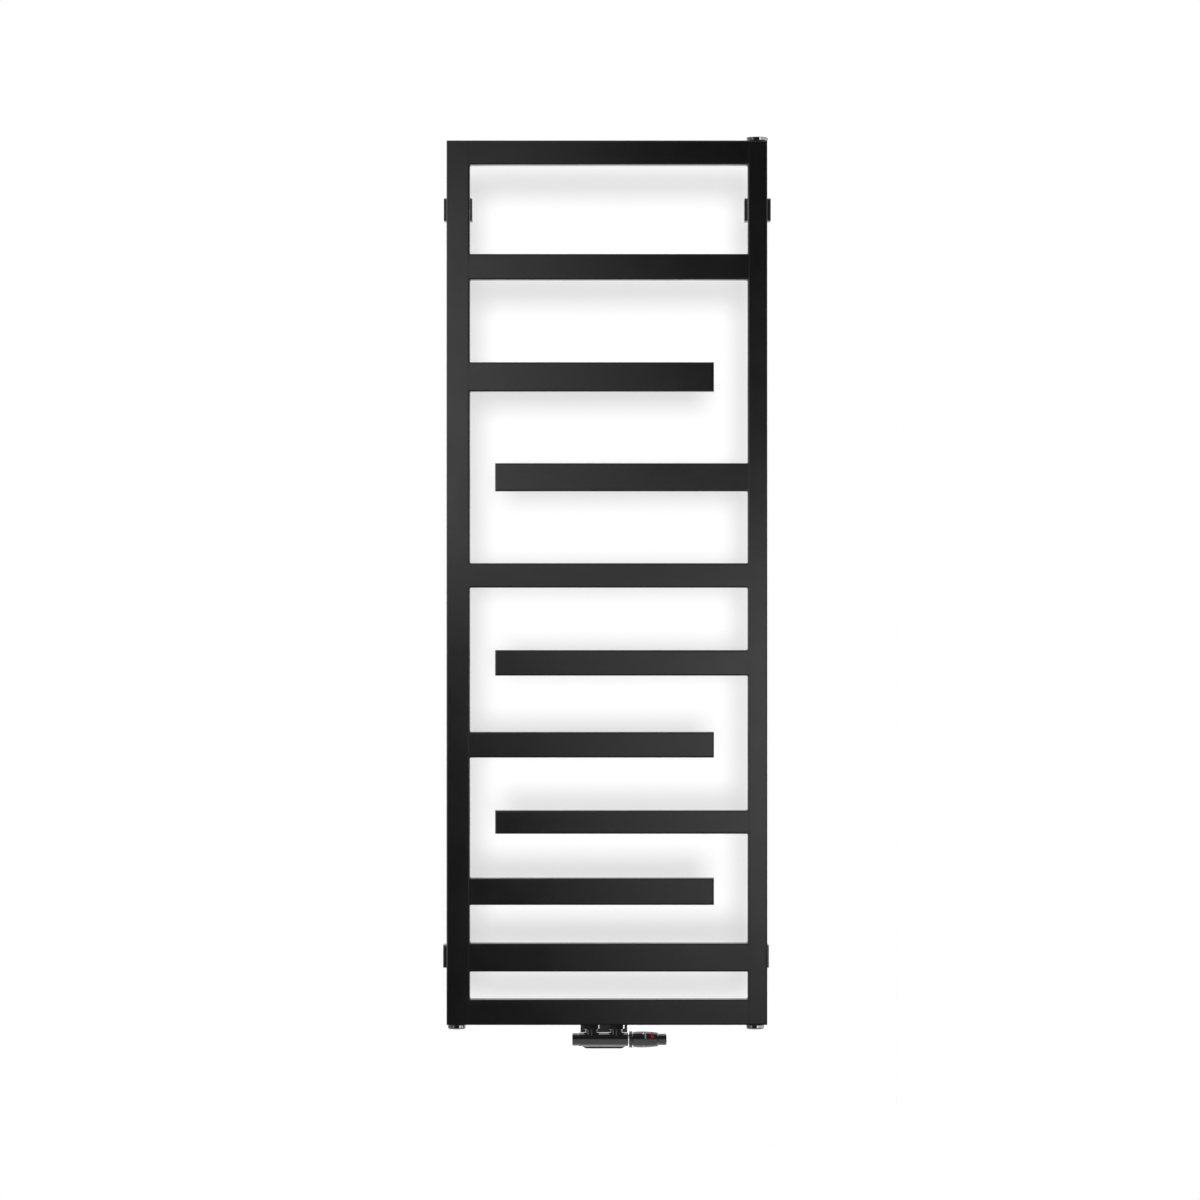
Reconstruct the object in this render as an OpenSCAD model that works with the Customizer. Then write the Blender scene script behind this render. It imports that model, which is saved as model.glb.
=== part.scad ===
// Wall-hung towel radiator. Two collector tubes carry eleven flat bars, six of them joined
// on one side only, so that towels slide in from the open end. Below the frame hangs a valve
// set with a thermostatic head and a lockshield, whose pipes go straight back into the wall.
// Millimetres, +Z up, the front faces -Y, the wall is the plane y = 0, and the origin is the
// middle of the four wall screws.

/* [Frame] */
// Overall width, over both collector tubes
frame_w = 640; // [500:1:900]
// Width of the left collector tube, seen from the front
left_tube_w = 46.5; // [40:0.5:60]
// Width of the right collector tube, seen from the front
right_tube_w = 39; // [38:0.5:60]
// Depth of every tube, from front to back
tube_d = 40; // [38:1:60]
// Wall of every tube
tube_wall = 2; // [1.5:0.1:2.5]
// Radius of the tubes' long edges
edge_r = 3; // [2.8:0.1:4]
// Clear distance from the wall to the back of the tubes
standoff = 50; // [48:1:70]

/* [Bars, counted from the bottom] */
// Heights of the bottom bar and of bars 1 to 3
bars_0_3_h = [51, 56.5, 53.5, 46.5]; // [40:0.5:70]
// Heights of bars 4 to 7
bars_4_7_h = [51, 51, 49, 56]; // [40:0.5:70]
// Heights of bars 8 and 9 and of the top bar
bars_8_10_h = [58.5, 51.5, 48.5]; // [40:0.5:70]
// Clear gaps above the bottom bar and above bars 1 to 3
gaps_0_3_h = [55.5, 76.5, 88.5, 105.5]; // [40:0.5:200]
// Clear gaps above bars 4 to 7
gaps_4_7_h = [112.5, 124.5, 143.5, 143]; // [40:0.5:200]
// Clear gaps above bars 8 and 9
gaps_8_9_h = [164.5, 178]; // [80:0.5:250]
// Open slot between a bar joined on the left and the right collector
right_slot_w = 67.5; // [40:0.5:120]
// Open slot between a bar joined on the right and the left collector
left_slot_w = 50.5; // [40:0.5:120]
// Thickness of the plates that close the bars' free ends
bar_cap_t = 4; // [3.5:0.5:8]
// Thickness of the plates that close the collectors
end_plate_t = 4; // [3.5:0.5:5]
// Rim left around the water windows between a collector and a bar
window_rim = 4; // [2:0.5:6]
// Thickness of the plate that parts flow from return in the bottom bar
baffle_t = 3; // [2:0.5:6]

/* [Plugs and vent] */
// Radius of the pipe thread in plugs, vent and sockets
thread_r = 10.4; // [9.5:0.1:10.8]
// Radius of the bosses behind the end plates
boss_r = 12.4; // [12.2:0.1:12.8]
// Depth of the bosses behind the end plates
boss_h = 10; // [8:0.5:16]
// Distance of the left plug from its tube's middle, to the right
left_plug_shift = -3; // [-4:0.5:4]
// Distance of the right plug from its tube's middle, to the right
right_plug_shift = -4.5; // [-4.5:0.5:4]
// Diameter of a plug's head
plug_dia = 36.5; // [34:0.5:38]
// Height of a plug's head, without its seal
plug_head_h = 7.8; // [7.5:0.1:12]
// Diameter of the air vent's disc
vent_dia = 43.5; // [38:0.5:46]
// Height of the air vent's disc, without its seal
vent_head_h = 6; // [5:0.5:10]
// Radius of the vent's bleed screw
bleed_r = 4.5; // [4:0.1:5]
// Thickness of the flat seals under plugs and vent
seal_t = 1.2; // [0.8:0.1:2]

/* [Wall brackets] */
// Height of the lower brackets above the frame's bottom
lower_bracket_up = 134; // [100:1:200]
// Distance of the upper brackets below the frame's top
upper_bracket_down = 135; // [100:1:200]
// Width of the left brackets' covers
left_cover_w = 56.5; // [50:0.5:64]
// Width of the right brackets' covers
right_cover_w = 52.5; // [50:0.5:64]
// Distance of the upper left cover from its tube's middle, to the right
upper_left_shift = -1.7; // [-3.5:0.1:3.5]
// Distance of the upper right cover from its tube's middle, to the right
upper_right_shift = 1.5; // [-3.5:0.1:3.5]
// Distance of the lower left cover from its tube's middle, to the right
lower_left_shift = -3; // [-3.5:0.1:3.5]
// Distance of the lower right cover from its tube's middle, to the right
lower_right_shift = -2.3; // [-3.5:0.1:3.5]
// Height of the covers
cover_h = 45; // [42:0.5:60]
// Wall of a cover
cover_wall = 3; // [2:0.5:4]
// Front wall of a cover, clamped to the tube
cover_front_t = 6; // [4:0.5:8]
// Bevel along a cover's front edges
cover_bevel = 3; // [1:0.5:4]
// Bevel along a cover's edges towards the wall
cover_corner = 0.6; // [0.3:0.1:2]
// Gap between a cover and the wall
cover_wall_gap = 1.5; // [1:0.5:4]
// Thickness of a wall anchor's plate
anchor_plate_t = 4; // [3:0.5:5]
// Width of a wall anchor's stem
stem_w = 30; // [26:0.5:34]
// Height of a wall anchor's stem
stem_h = 24; // [22:0.5:28]
// Radius of a wall screw's hole
wall_screw_r = 3.5; // [2.5:0.1:4.5]
// Radius of the pocket for a wall screw's head
screw_pocket_r = 8; // [7:0.1:9]
// Steel left behind a wall screw's head
screw_web = 8; // [6:0.5:12]
// Radius of a mounting stud
stud_r = 4; // [3:0.5:5]
// Radius of a locking screw
lock_screw_r = 3; // [2:0.5:3.5]
// How far the brackets pull out from the wall
bracket_reach = 12; // [0:1:13]

/* [Valve] */
// Distance of the valve set from the frame's middle, to the right
valve_shift = -6; // [-60:1:60]
// Depth of the valve's axis below the frame
valve_drop = 30; // [30:0.5:40]
// Distance between the two connections
port_gap = 50; // [50:0.5:60]
// Radius of the valve's body
body_r = 14; // [13.8:0.1:15]
// Reach of the body to the left of the middle
body_left = 50.5; // [49:0.5:56]
// Reach of the body to the right of the middle
body_right = 48.5; // [48:0.5:56]
// Radius of the bores for the two inserts
chamber_r = 9.5; // [9:0.1:10]
// Radius of the valve seats' holes
seat_r = 5.5; // [4:0.1:6]
// Distance of the seats' faces from the middle
seat_x = 14; // [13:0.5:15]
// Radius of the necks' thread
neck_r = 13.2; // [13:0.1:13.6]
// Radius of the necks' waist
waist_r = 11.5; // [10.5:0.1:12.5]
// Width across the flats of the union nuts
union_af = 30; // [30:0.5:32]
// Radius of the pipe sockets, for pipes of 15 mm
pipe_r = 7.6; // [7.55:0.05:7.7]
// Depth of the pipe sockets
socket_depth = 12; // [10:0.5:14]
// Width across the flats of the pipe nuts
pipe_nut_af = 28; // [28:0.5:30]
// Width of the wall rosette
rosette_w = 94; // [84:1:110]
// How far the wall rosette reaches above the pipes
rosette_up = 46; // [36:1:60]
// How far the wall rosette reaches below the pipes
rosette_down = 24; // [20:1:30]
// Radius of the rosette's corners
rosette_corner = 14.5; // [4:0.5:17]
// Thickness of the rosette
rosette_t = 6; // [4:0.5:12]
// Radius of the pipe sleeves
sleeve_r = 12; // [11:0.5:14]
// Wall of the pipe sleeves
sleeve_wall = 2; // [1:0.5:2.5]

/* [Thermostatic head and lockshield] */
// Radius of the knurled nut that holds the head
collar_r = 16.8; // [16.4:0.1:18]
// Length of the knurled nut
collar_l = 7; // [6.5:0.5:8]
// Largest radius of the head's barrel
barrel_r = 16.7; // [16.2:0.1:18]
// Radius of the barrel beside the knurled nut
barrel_root_r = 15.5; // [15:0.1:16]
// Radius of the barrel at its outer end
barrel_end_r = 14.6; // [14.2:0.1:15]
// Length of the fixed part of the barrel
base_l = 22.5; // [21:0.5:26]
// Length of the turning part of the barrel
handle_l = 27; // [26:0.5:32]
// Radius of the end knob
knob_r = 11.9; // [10:0.1:13]
// Length of the end knob
knob_l = 16; // [12:0.5:24]
// Radius of the red mark
mark_r = 3.3; // [2:0.1:4]
// Height of the red mark on the barrel, in degrees above the front
mark_angle = 27; // [0:1:40]
// Opening of the thermostatic valve at rest
valve_lift = 2.5; // [2:0.1:3]
// Opening of the lockshield at rest
lock_lift = 2.5; // [2:0.1:3]
// Radius of the thermostatic valve's pin
pin_r = 2; // [1.5:0.1:2.2]
// Radius of the sensor capsule
sensor_r = 9.5; // [8.5:0.1:9.6]
// Radius of the lockshield's cap
cap_r = 13; // [12.8:0.1:13.6]
// Length of the lockshield's cap
cap_l = 12.6; // [11.5:0.1:16]

/* [Fits] */
// Gap all round a shaft, guide or thread
fit_gap = 0.05; // [0.03:0.01:0.08]
// Gap between a sliding cover and its stem
slide_gap = 0.2; // [0.1:0.05:0.3]
// Gap between parts that only face each other
face_gap = 0.3; // [0.1:0.05:0.5]

/* [Hidden] */
$fn = 48;
BARS = [for (i = [1:9]) str("bar_", i)];

// ---- frame, worked out from the sizes above ----
function sum(v, n) = n <= 0 ? 0 : v[n - 1] + sum(v, n - 1);
bar_h = concat(bars_0_3_h, bars_4_7_h, bars_8_10_h);
gap_h = concat(gaps_0_3_h, gaps_4_7_h, gaps_8_9_h);
top = len(bar_h) - 1;
// which collectors carry each bar: L, R or both
joined = ["LR", "LR", "L", "R", "L", "R", "LR", "R", "L", "LR", "LR"];
function on_left(i) = joined[i] != "R";
function on_right(i) = joined[i] != "L";

frame_h = sum(bar_h, top + 1) + sum(gap_h, top);
bracket_z = (frame_h - lower_bracket_up - upper_bracket_down) / 2;
frame_bottom = -bracket_z - lower_bracket_up;
frame_top = frame_bottom + frame_h;
function bar_z(i) = frame_bottom + sum(bar_h, i) + sum(gap_h, i);

// the collectors' middles lie equally far from the origin, because the brackets sit on them
bracket_x = (frame_w - (left_tube_w + right_tube_w) / 2) / 2;
frame_left = -bracket_x - left_tube_w / 2;
inner_left = frame_left + left_tube_w;
inner_right = bracket_x - right_tube_w / 2;
free_left = inner_left + left_slot_w;
free_right = inner_right - right_slot_w;
y_back = -standoff;
y_mid = y_back - tube_d / 2;

// a bar's end runs on over the collector's rounded edge, down to a thin lip, so that the
// welded front is one plane
lip = 0.05;
cope = edge_r - sqrt(pow(edge_r, 2) - pow(edge_r - lip, 2));
bore_r = edge_r - tube_wall;

left_plug_x = -bracket_x + left_plug_shift;
right_plug_x = bracket_x + right_plug_shift;
stem_thread_r = thread_r - fit_gap;

// ---- valve, in its own axes: origin at its middle, x along its body, y towards the wall ----
valve_pos = [frame_left + frame_w / 2 + valve_shift, y_mid, frame_bottom - valve_drop];
ports = [-port_gap / 2, port_gap / 2];
wall_y = -y_mid;
chamber_l = 3;
flange_t = 1.3;
boss_end_y = 28;
pipe_boss_r = 12;
nut_y = boss_end_y - 8;
nut_l = 16;
stub_end = body_right + 4.7;
collar_x = body_right + flange_t + 0.2;
base_x = collar_x + collar_l;
handle_x = base_x + base_l + face_gap;
knob_x = handle_x + handle_l + 2.2;
guide_r = sensor_r + fit_gap;
tube_r = guide_r + 1.5;
sensor_tube_l = 18.7;
tube_end = handle_x + sensor_tube_l;
wall_x = handle_x + handle_l - 3;
pin_end = stub_end + 13;
union_r = union_af / 2 / cos(30);
washer_t = 1;
neck_top = valve_drop - 4.5;
neck_thread_z = neck_top - 5;
nut_z = neck_thread_z + 1;
neck_bore_r = 8;
washer_r = neck_r - 0.4;
pipe_way_r = 6.2;
tail_l = 16.5;
// O-rings and their grooves, around the valve's pin and the lockshield's spindle
ring_r = 1.1;
groove_w = 2.4;
groove_depth = 2.4;
// the ends of a spring's wire lie this far from what they press on
wire_gap = 0.1;

// ---- shapes that repeat ----
module rounded_rect(w, h, r) {
  square([w - 2 * r, h], center = true);
  square([w, h - 2 * r], center = true);
  for (x = [-1, 1], y = [-1, 1])
    translate([x * (w / 2 - r), y * (h / 2 - r)]) circle(r);
}

module chamfered_rect(w, h, c) {
  polygon([for (q = [[1, 1], [-1, 1], [-1, -1], [1, -1]], k = [0, 1])
    let (first = (q[0] * q[1] > 0) ? k == 0 : k == 1)
    [q[0] * (w / 2 - (first ? 0 : c)), q[1] * (h / 2 - (first ? c : 0))]]);
}

// an extrusion along x, whose profile's x and y become y and z
module along_x(x0, x1) translate([x0, 0, 0]) rotate([90, 0, 90]) linear_extrude(x1 - x0) children();

// round bars along x and along y
module rod_x(x0, x1, r) translate([x0, 0, 0]) rotate([0, 90, 0]) cylinder(r = r, h = x1 - x0);
module rod_y(y0, y1, r) translate([0, y0, 0]) rotate([-90, 0, 0]) cylinder(r = r, h = y1 - y0);

// turned parts: a profile of [radius, place along x] points, spun about x
module turned_x(points) rotate([0, 90, 0]) rotate_extrude() polygon(points);

// a tube's hollow section, with its height along y
module section(w, h) difference() {
  rounded_rect(w, h, edge_r);
  rounded_rect(w - 2 * tube_wall, h - 2 * tube_wall, bore_r);
}

// round wire wound along x
module coil_x(x0, x1, r, wire_r, turns) {
  sides = 8;
  steps = 20 * turns;
  rise = (x1 - x0 - 2 * wire_r) / steps;
  points = [for (s = [0:steps], k = [0:sides - 1])
    let (a = s * 18, b = k * 360 / sides, q = r + wire_r * cos(b))
    [x0 + wire_r + s * rise + wire_r * sin(b), q * cos(a), q * sin(a)]];
  sleeve = [for (s = [0:steps - 1], k = [0:sides - 1])
    let (n = (k + 1) % sides, a = s * sides, b = a + sides) [a + k, b + k, b + n, a + n]];
  polyhedron(points, concat([[for (k = [0:sides - 1]) k]], sleeve,
    [[for (k = [sides - 1:-1:0]) steps * sides + k]]));
}

// ---- tubes ----
module left_outline() translate([-bracket_x, y_mid, 0]) rounded_rect(left_tube_w, tube_d, edge_r);
module right_outline() translate([bracket_x, y_mid, 0]) rounded_rect(right_tube_w, tube_d, edge_r);

// room for both collectors, from below the frame to above it
module collectors_room() translate([0, 0, frame_bottom - 1]) linear_extrude(frame_h + 2) {
  left_outline();
  right_outline();
}

module bar(i) color([0.09, 0.09, 0.09]) difference() {
  translate([0, y_mid, bar_z(i) + bar_h[i] / 2])
    along_x(on_left(i) ? inner_left - cope : free_left + bar_cap_t,
            on_right(i) ? inner_right + cope : free_right - bar_cap_t)
      section(tube_d, bar_h[i]);
  collectors_room();
}

// closes a bar's free end, with its edges rounded like the bar's
module bar_end_cap(i) {
  x0 = on_left(i) ? inner_left : free_left;
  x1 = on_left(i) ? free_right : inner_right;
  intersection() {
    translate([0, y_mid, bar_z(i) + bar_h[i] / 2])
      along_x(on_left(i) ? x1 - bar_cap_t : x0, on_left(i) ? x1 : x0 + bar_cap_t)
        rounded_rect(tube_d, bar_h[i], edge_r);
    translate([(x0 + x1) / 2, y_mid, bar_z(i) - 1])
      linear_extrude(bar_h[i] + 2) rounded_rect(x1 - x0, tube_d, edge_r);
  }
}

module bar_end_caps() color([0.09, 0.09, 0.09])
  for (i = [0:top]) if (!on_left(i) || !on_right(i)) bar_end_cap(i);

module window(i, x) {
  rim = 2 * (tube_wall + window_rim);
  translate([x, y_mid, bar_z(i) + bar_h[i] / 2])
    cube([3 * tube_wall, tube_d - rim, bar_h[i] - rim], center = true);
}

module collector(x, w) translate([x, y_mid, frame_bottom + end_plate_t])
  linear_extrude(frame_h - 2 * end_plate_t) section(w, tube_d);

module left_collector() color([0.1, 0.1, 0.1]) difference() {
  collector(-bracket_x, left_tube_w);
  for (i = [0:top]) if (on_left(i)) window(i, inner_left);
}

module right_collector() color([0.1, 0.1, 0.1]) difference() {
  collector(bracket_x, right_tube_w);
  for (i = [0:top]) if (on_right(i)) window(i, inner_right);
}

// a collector's end plate, with its front and back edges rounded like the bar beside it
module end_plate(x, w, i) {
  z0 = i == 0 ? frame_bottom : frame_top - end_plate_t;
  intersection() {
    translate([x, y_mid, z0]) linear_extrude(end_plate_t) rounded_rect(w, tube_d, edge_r);
    translate([0, y_mid, bar_z(i) + bar_h[i] / 2])
      along_x(x - w / 2 - 1, x + w / 2 + 1) rounded_rect(tube_d, bar_h[i], edge_r);
  }
}

// the same plate with a threaded boss on its inner side, centred at hole_x
module tapped_end_plate(x, w, i, hole_x) {
  z0 = i == 0 ? frame_bottom + end_plate_t / 2 : frame_top - end_plate_t - boss_h;
  difference() {
    union() {
      end_plate(x, w, i);
      translate([hole_x, y_mid, z0]) cylinder(r = boss_r, h = boss_h + end_plate_t / 2);
    }
    translate([hole_x, y_mid, i == 0 ? frame_bottom - 1 : z0 - 1])
      cylinder(r = thread_r, h = boss_h + end_plate_t + 2);
  }
}

module top_left_end_plate() color([0.1, 0.1, 0.1]) end_plate(-bracket_x, left_tube_w, top);
module top_right_end_plate() color([0.1, 0.1, 0.1])
  tapped_end_plate(bracket_x, right_tube_w, top, vent_x);
module bottom_left_end_plate() color([0.1, 0.1, 0.1])
  tapped_end_plate(-bracket_x, left_tube_w, 0, left_plug_x);
module bottom_right_end_plate() color([0.1, 0.1, 0.1])
  tapped_end_plate(bracket_x, right_tube_w, 0, right_plug_x);

// ---- inside the bottom bar: the two welded sockets and the plate between them ----
socket_r = 14;
socket_h = 16;
module at_ports() for (x = ports) translate([valve_pos[0] + x, y_mid, 0]) children();

module bottom_bar() difference() {
  bar(0);
  at_ports() translate([0, 0, frame_bottom - 1]) cylinder(r = socket_r + fit_gap, h = tube_wall + 2);
}

module connection_sockets() color([0.35, 0.35, 0.37])
  at_ports() translate([0, 0, frame_bottom]) difference() {
    cylinder(r = socket_r, h = socket_h);
    translate([0, 0, -1]) cylinder(r = thread_r, h = socket_h + 2);
  }

module flow_baffle() color([0.35, 0.35, 0.37])
  translate([0, y_mid, bar_z(0) + bar_h[0] / 2])
    along_x(valve_pos[0] - baffle_t / 2, valve_pos[0] + baffle_t / 2)
      rounded_rect(tube_d - 2 * (tube_wall + fit_gap), bar_h[0] - 2 * (tube_wall + fit_gap),
                   bore_r - fit_gap);

// ---- plugs and vent ----
plug_stem = end_plate_t + boss_h - 2;
plug_key_r = 6 / cos(30);
dome_w = 4.5;
dome_h = 2.8;
module plug(x) color([0.75, 0.74, 0.72]) translate([x, y_mid, frame_bottom]) difference() {
  rotate_extrude() polygon(concat(
    [[0, plug_stem], [stem_thread_r - 1, plug_stem], [stem_thread_r, plug_stem - 1],
     [stem_thread_r, -seal_t], [plug_dia / 2, -seal_t]],
    [for (a = [0:15:90])
      [plug_dia / 2 - dome_w * (1 - cos(a)), -seal_t - plug_head_h + dome_h * (1 - sin(a))]],
    [[0, -seal_t - plug_head_h]]));
  translate([0, 0, -seal_t - plug_head_h - 1]) cylinder(r = plug_key_r, h = 6, $fn = 6);
}

module left_plug() plug(left_plug_x);
module right_plug() plug(right_plug_x);

vent_shift = -0.5;
vent_x = bracket_x + vent_shift;
vent_z = frame_top + seal_t;
bleed_head_r = bleed_r + 1.5;
bleed_hole_r = 1.5;
bleed_seat = -8;
vent_bevel = 0.8;
module vent_body() color([0.75, 0.74, 0.72]) translate([vent_x, y_mid, vent_z]) difference() {
  rotate_extrude() polygon([[0, -seal_t - plug_stem], [stem_thread_r - 1, -seal_t - plug_stem],
    [stem_thread_r, 1 - seal_t - plug_stem], [stem_thread_r, 0], [vent_dia / 2, 0],
    [vent_dia / 2, vent_head_h - vent_bevel], [vent_dia / 2 - vent_bevel, vent_head_h],
    [0, vent_head_h]]);
  translate([0, 0, bleed_seat]) cylinder(r = bleed_r + fit_gap, h = vent_head_h - bleed_seat + 1);
  translate([0, 0, vent_head_h - 3]) cylinder(r = bleed_head_r + fit_gap, h = 4);
  translate([0, 0, -seal_t - plug_stem - 1]) cylinder(r = bleed_hole_r, h = plug_stem);
  translate([0, 0, 1.6]) rod_y(0, vent_dia, 1);
}

module vent_screw() color([0.7, 0.69, 0.67]) translate([vent_x, y_mid, vent_z]) difference() {
  union() {
    translate([0, 0, bleed_seat + fit_gap]) cylinder(r = bleed_r, h = vent_head_h - bleed_seat - 3);
    translate([0, 0, vent_head_h - 3 + fit_gap]) cylinder(r = bleed_head_r, h = 2.6);
  }
  translate([0, 0, vent_head_h]) cube([1.2, 4 * bleed_head_r, 2.4], center = true);
}

module flat_seal(r_in, r_out, t) difference() {
  cylinder(r = r_out, h = t);
  translate([0, 0, -1]) cylinder(r = r_in, h = t + 2);
}

module thread_seals() color([0.15, 0.15, 0.15]) {
  for (x = [left_plug_x, right_plug_x]) translate([x, y_mid, frame_bottom - seal_t])
    flat_seal(thread_r, plug_dia / 2 - 2, seal_t);
  translate([vent_x, y_mid, frame_top]) flat_seal(thread_r, plug_dia / 2 - 2, seal_t);
}

// ---- wall brackets ----
stem_end = standoff - cover_front_t - 13;
pocket_y = anchor_plate_t + 2;
lock_y = stem_end / 2;
nut_flange_r = stud_r * 2;
module at_bracket(side, level) translate([side * bracket_x, 0, level * bracket_z]) children();

// the cover's outline and its pocket stand off the stem's middle by shift
module bracket_cover(w, shift) color([0.13, 0.13, 0.13]) difference() {
  translate([shift, 0, 0]) intersection() {
    translate([0, -cover_wall_gap, 0]) rotate([90, 0, 0])
      linear_extrude(standoff - cover_wall_gap) chamfered_rect(w, cover_h, cover_corner);
    translate([0, 0, -cover_h]) linear_extrude(2 * cover_h) chamfered_rect(w, 2 * standoff, cover_bevel);
    along_x(-w, w) chamfered_rect(2 * standoff, cover_h, cover_bevel);
  }
  translate([shift, -pocket_y / 2, 0])
    cube([w - 2 * cover_wall, pocket_y, cover_h - 2 * cover_wall], center = true);
  translate([0, -(standoff - cover_front_t) / 2, 0])
    cube([stem_w + 2 * slide_gap, standoff - cover_front_t, stem_h + 2 * slide_gap], center = true);
  rod_y(-standoff - 1, -standoff + cover_front_t + 1, stud_r + face_gap);
  translate([0, -lock_y, -cover_h]) cylinder(r = lock_screw_r + fit_gap, h = cover_h);
}

module upper_left_cover() at_bracket(-1, 1) bracket_cover(left_cover_w, upper_left_shift);
module upper_right_cover() at_bracket(1, 1) bracket_cover(right_cover_w, upper_right_shift);
module lower_left_cover() at_bracket(-1, -1) bracket_cover(left_cover_w, lower_left_shift);
module lower_right_cover() at_bracket(1, -1) bracket_cover(right_cover_w, lower_right_shift);

module wall_anchor(w, shift) color([0.5, 0.5, 0.52]) difference() {
  rim = 2 * (cover_wall + 1);
  union() {
    translate([shift, -anchor_plate_t / 2, 0]) cube([w - rim, anchor_plate_t, cover_h - rim], center = true);
    translate([0, -stem_end / 2, 0]) cube([stem_w, stem_end, stem_h], center = true);
  }
  rod_y(-stem_end, 1, wall_screw_r);
  rod_y(-stem_end - 1, -screw_web, screw_pocket_r);
}

module left_wall_anchors() {
  at_bracket(-1, 1) wall_anchor(left_cover_w, upper_left_shift);
  at_bracket(-1, -1) wall_anchor(left_cover_w, lower_left_shift);
}
module right_wall_anchors() {
  at_bracket(1, 1) wall_anchor(right_cover_w, upper_right_shift);
  at_bracket(1, -1) wall_anchor(right_cover_w, lower_right_shift);
}

module at_brackets() for (side = [-1, 1], level = [-1, 1]) at_bracket(side, level) children();

stud_end = standoff - cover_front_t - 10;
module mounting_studs() color([0.55, 0.55, 0.57]) at_brackets() rod_y(-standoff, -stud_end, stud_r);

module mounting_nuts() color([0.6, 0.6, 0.62])
  at_brackets() translate([0, -standoff + cover_front_t, 0]) difference() {
    union() {
      rod_y(0, 1.5, nut_flange_r);
      rotate([-90, 0, 0]) cylinder(r = 1.625 * stud_r / cos(30), h = 6.5, $fn = 6);
    }
    rod_y(-1, 8, stud_r + fit_gap);
  }

module locking_screws() color([0.3, 0.3, 0.3])
  at_brackets() translate([0, -lock_y, -cover_h / 2 + 1]) difference() {
    cylinder(r = lock_screw_r, h = cover_h / 2 - 1 - stem_h / 2 - slide_gap / 2);
    translate([0, 0, -1]) cylinder(r = lock_screw_r / 2 / cos(30), h = 4, $fn = 6);
  }

// ---- valve body ----
neck_shape = [[0, 0], [waist_r, 0], [waist_r, neck_thread_z - 1], [neck_r, neck_thread_z],
              [neck_r, neck_top], [0, neck_top]];
saddle_y = 4;
saddle_t = 15.5;
saddle_h = 20;
cross_r = 2.6;
cross_y = chamber_r + 1 + cross_r + 0.8;
link_r = 2.2;
link_x = chamber_l + 3.5;
module valve_body() color([0.16, 0.16, 0.16]) translate(valve_pos) difference() {
  union() {
    turned_x([[0, -body_left], [body_r - 0.6, -body_left], [body_r, -body_left + 0.6],
      [body_r, body_right - 0.6], [body_r - 0.6, body_right], [0, body_right]]);
    for (x = ports) translate([x, 0, 0]) {
      rotate_extrude() polygon(neck_shape);
      rod_y(5, boss_end_y, pipe_boss_r);
    }
    translate([-port_gap / 2, saddle_y, -saddle_h / 2]) cube([port_gap, saddle_t, saddle_h]);
  }
  for (side = [-1, 1]) mirror([side < 0 ? 1 : 0, 0, 0]) {
    rod_x(seat_x, (side < 0 ? body_left : body_right) + 1, chamber_r);
    rod_x(chamber_l, seat_x + 1, seat_r);
    translate([port_gap / 2, 0, 0]) {
      cylinder(r = neck_bore_r, h = neck_top + 1);
      rod_y(boss_end_y - socket_depth, boss_end_y + 1, pipe_r);
      rod_y(chamber_r + 1, boss_end_y, pipe_way_r);
    }
    translate([0, cross_y, 0]) rod_x(link_x - link_r - 0.1, port_gap / 2, cross_r);
    translate([link_x, 0, 0]) rod_y(0, cross_y, link_r);
  }
}

// ---- connections between the valve and the frame ----
lip_z = valve_drop - 2;
nut_top = valve_drop - face_gap;
module union_nuts() color([0.14, 0.14, 0.14])
  for (x = ports) translate(valve_pos + [x, 0, nut_z]) difference() {
    rotate([0, 0, 22.5]) cylinder(r = union_r, h = nut_top - nut_z, $fn = 6);
    translate([0, 0, -1]) cylinder(r = neck_r + fit_gap, h = lip_z - nut_z + 1);
    cylinder(r = thread_r + fit_gap, h = nut_top);
  }

module tailpieces() color([0.7, 0.6, 0.3])
  for (x = ports) translate(valve_pos + [x, 0, 0]) difference() {
    union() {
      translate([0, 0, neck_top + washer_t])
        cylinder(r = washer_r, h = lip_z - neck_top - washer_t);
      translate([0, 0, neck_top + washer_t]) cylinder(r = stem_thread_r, h = tail_l);
    }
    translate([0, 0, neck_top]) cylinder(r = neck_bore_r, h = washer_t + tail_l + 1);
  }

module union_washers() color([0.12, 0.12, 0.12])
  for (x = ports) translate(valve_pos + [x, 0, neck_top]) flat_seal(neck_bore_r, washer_r, washer_t);

// ---- connections between the valve and the wall ----
lip_y = nut_y + nut_l - 3;
module pipe_nuts() color([0.14, 0.14, 0.14])
  for (x = ports) translate(valve_pos + [x, 0, 0]) difference() {
    translate([0, nut_y, 0]) rotate([-90, 0, 0]) cylinder(r = pipe_nut_af / 2 / cos(30), h = nut_l, $fn = 6);
    rod_y(nut_y - 1, lip_y, pipe_boss_r + fit_gap);
    rod_y(nut_y, nut_y + nut_l + 1, pipe_r + face_gap);
  }

module pipe_olives() color([0.75, 0.6, 0.3])
  for (x = ports) translate(valve_pos + [x, 0, 0]) rotate([-90, 0, 0]) rotate_extrude()
    polygon([[pipe_r + fit_gap, boss_end_y], [pipe_r + 1.5, boss_end_y], [pipe_r + 2.9, boss_end_y + 2],
      [pipe_r + 2.9, lip_y - 2], [pipe_r + 1.5, lip_y], [pipe_r + fit_gap, lip_y]]);

module at_pipes() for (x = ports) translate([valve_pos[0] + x, 0, valve_pos[2]]) children();

// its top is hidden behind the bottom bar
module rosette() color([0.2, 0.18, 0.19]) difference() {
  translate([valve_pos[0], 0, valve_pos[2] + (rosette_up - rosette_down) / 2]) rotate([90, 0, 0])
    linear_extrude(rosette_t) rounded_rect(rosette_w, rosette_up + rosette_down, rosette_corner);
  at_pipes() rod_y(-rosette_t - 1, 1, sleeve_r + fit_gap);
}

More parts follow.
